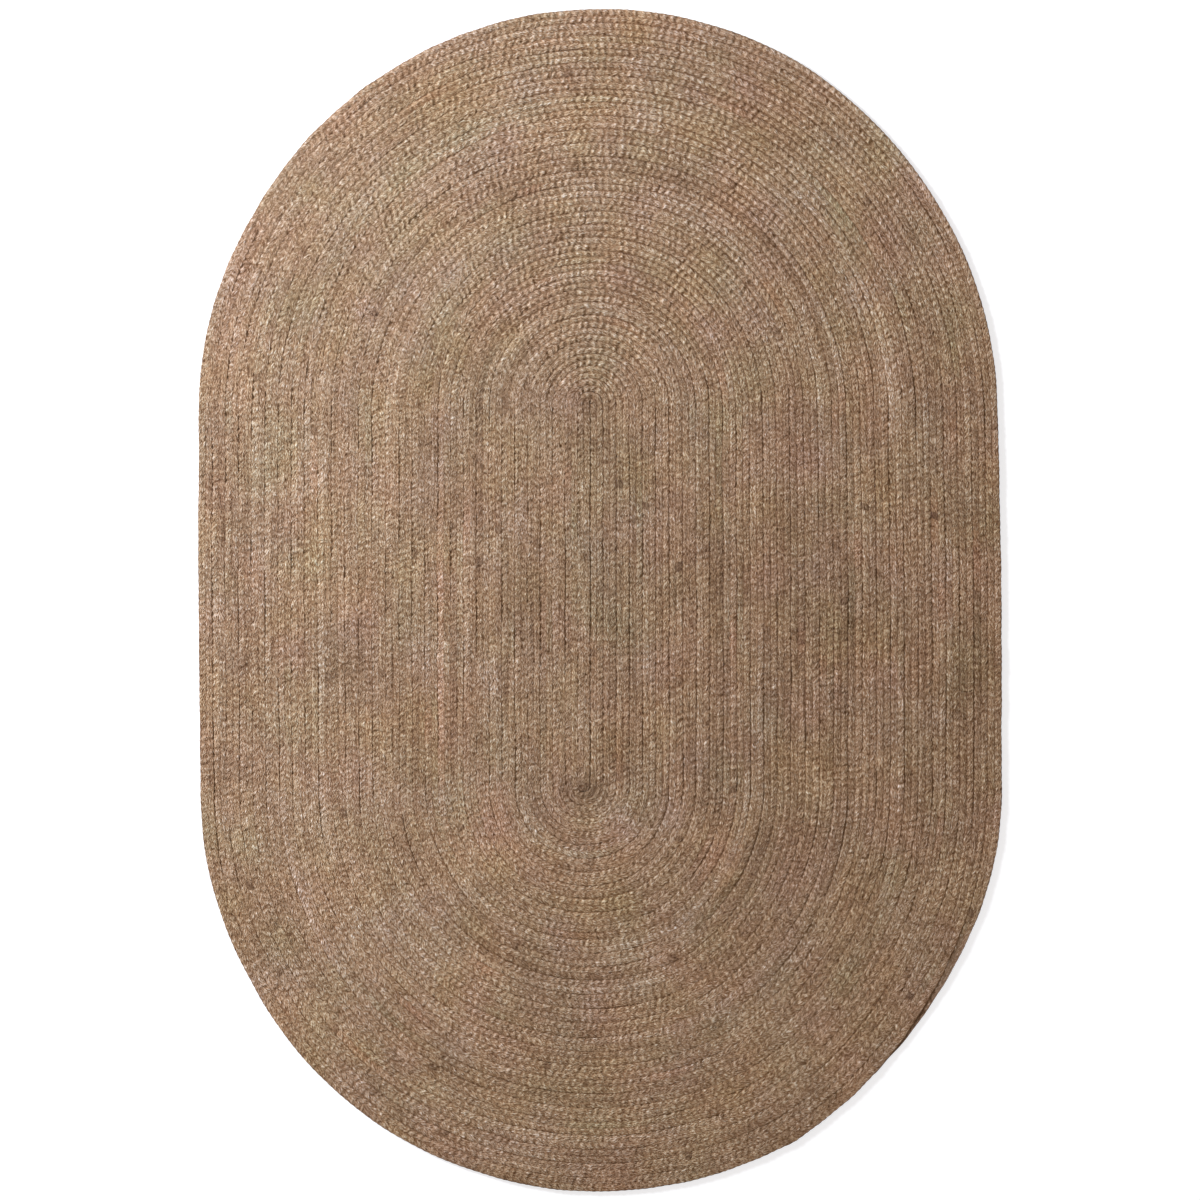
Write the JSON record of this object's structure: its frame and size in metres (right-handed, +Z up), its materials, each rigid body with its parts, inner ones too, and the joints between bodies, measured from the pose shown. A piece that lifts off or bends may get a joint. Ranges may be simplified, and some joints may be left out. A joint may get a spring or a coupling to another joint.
{
  "type": "oval braided jute rug",
  "caption": "Flat oval rug wound as a spiral from a flat plaited jute braid and sewn turn to turn, with rounded ends and straight sides.",
  "frame": {"origin": "middle of the underside, where the rug lies on the floor", "axes": "+X across the rug, +Y along its length, +Z up out of its top face"},
  "size_m": [1.2228, 1.8004, 0.009],
  "materials": {
    "jute": "natural undyed jute braid, matt and slightly hairy, tan brown with paler and redder strands"
  },
  "bodies": {
    "root": {"rug": "jute"}
  },
  "joints": []
}
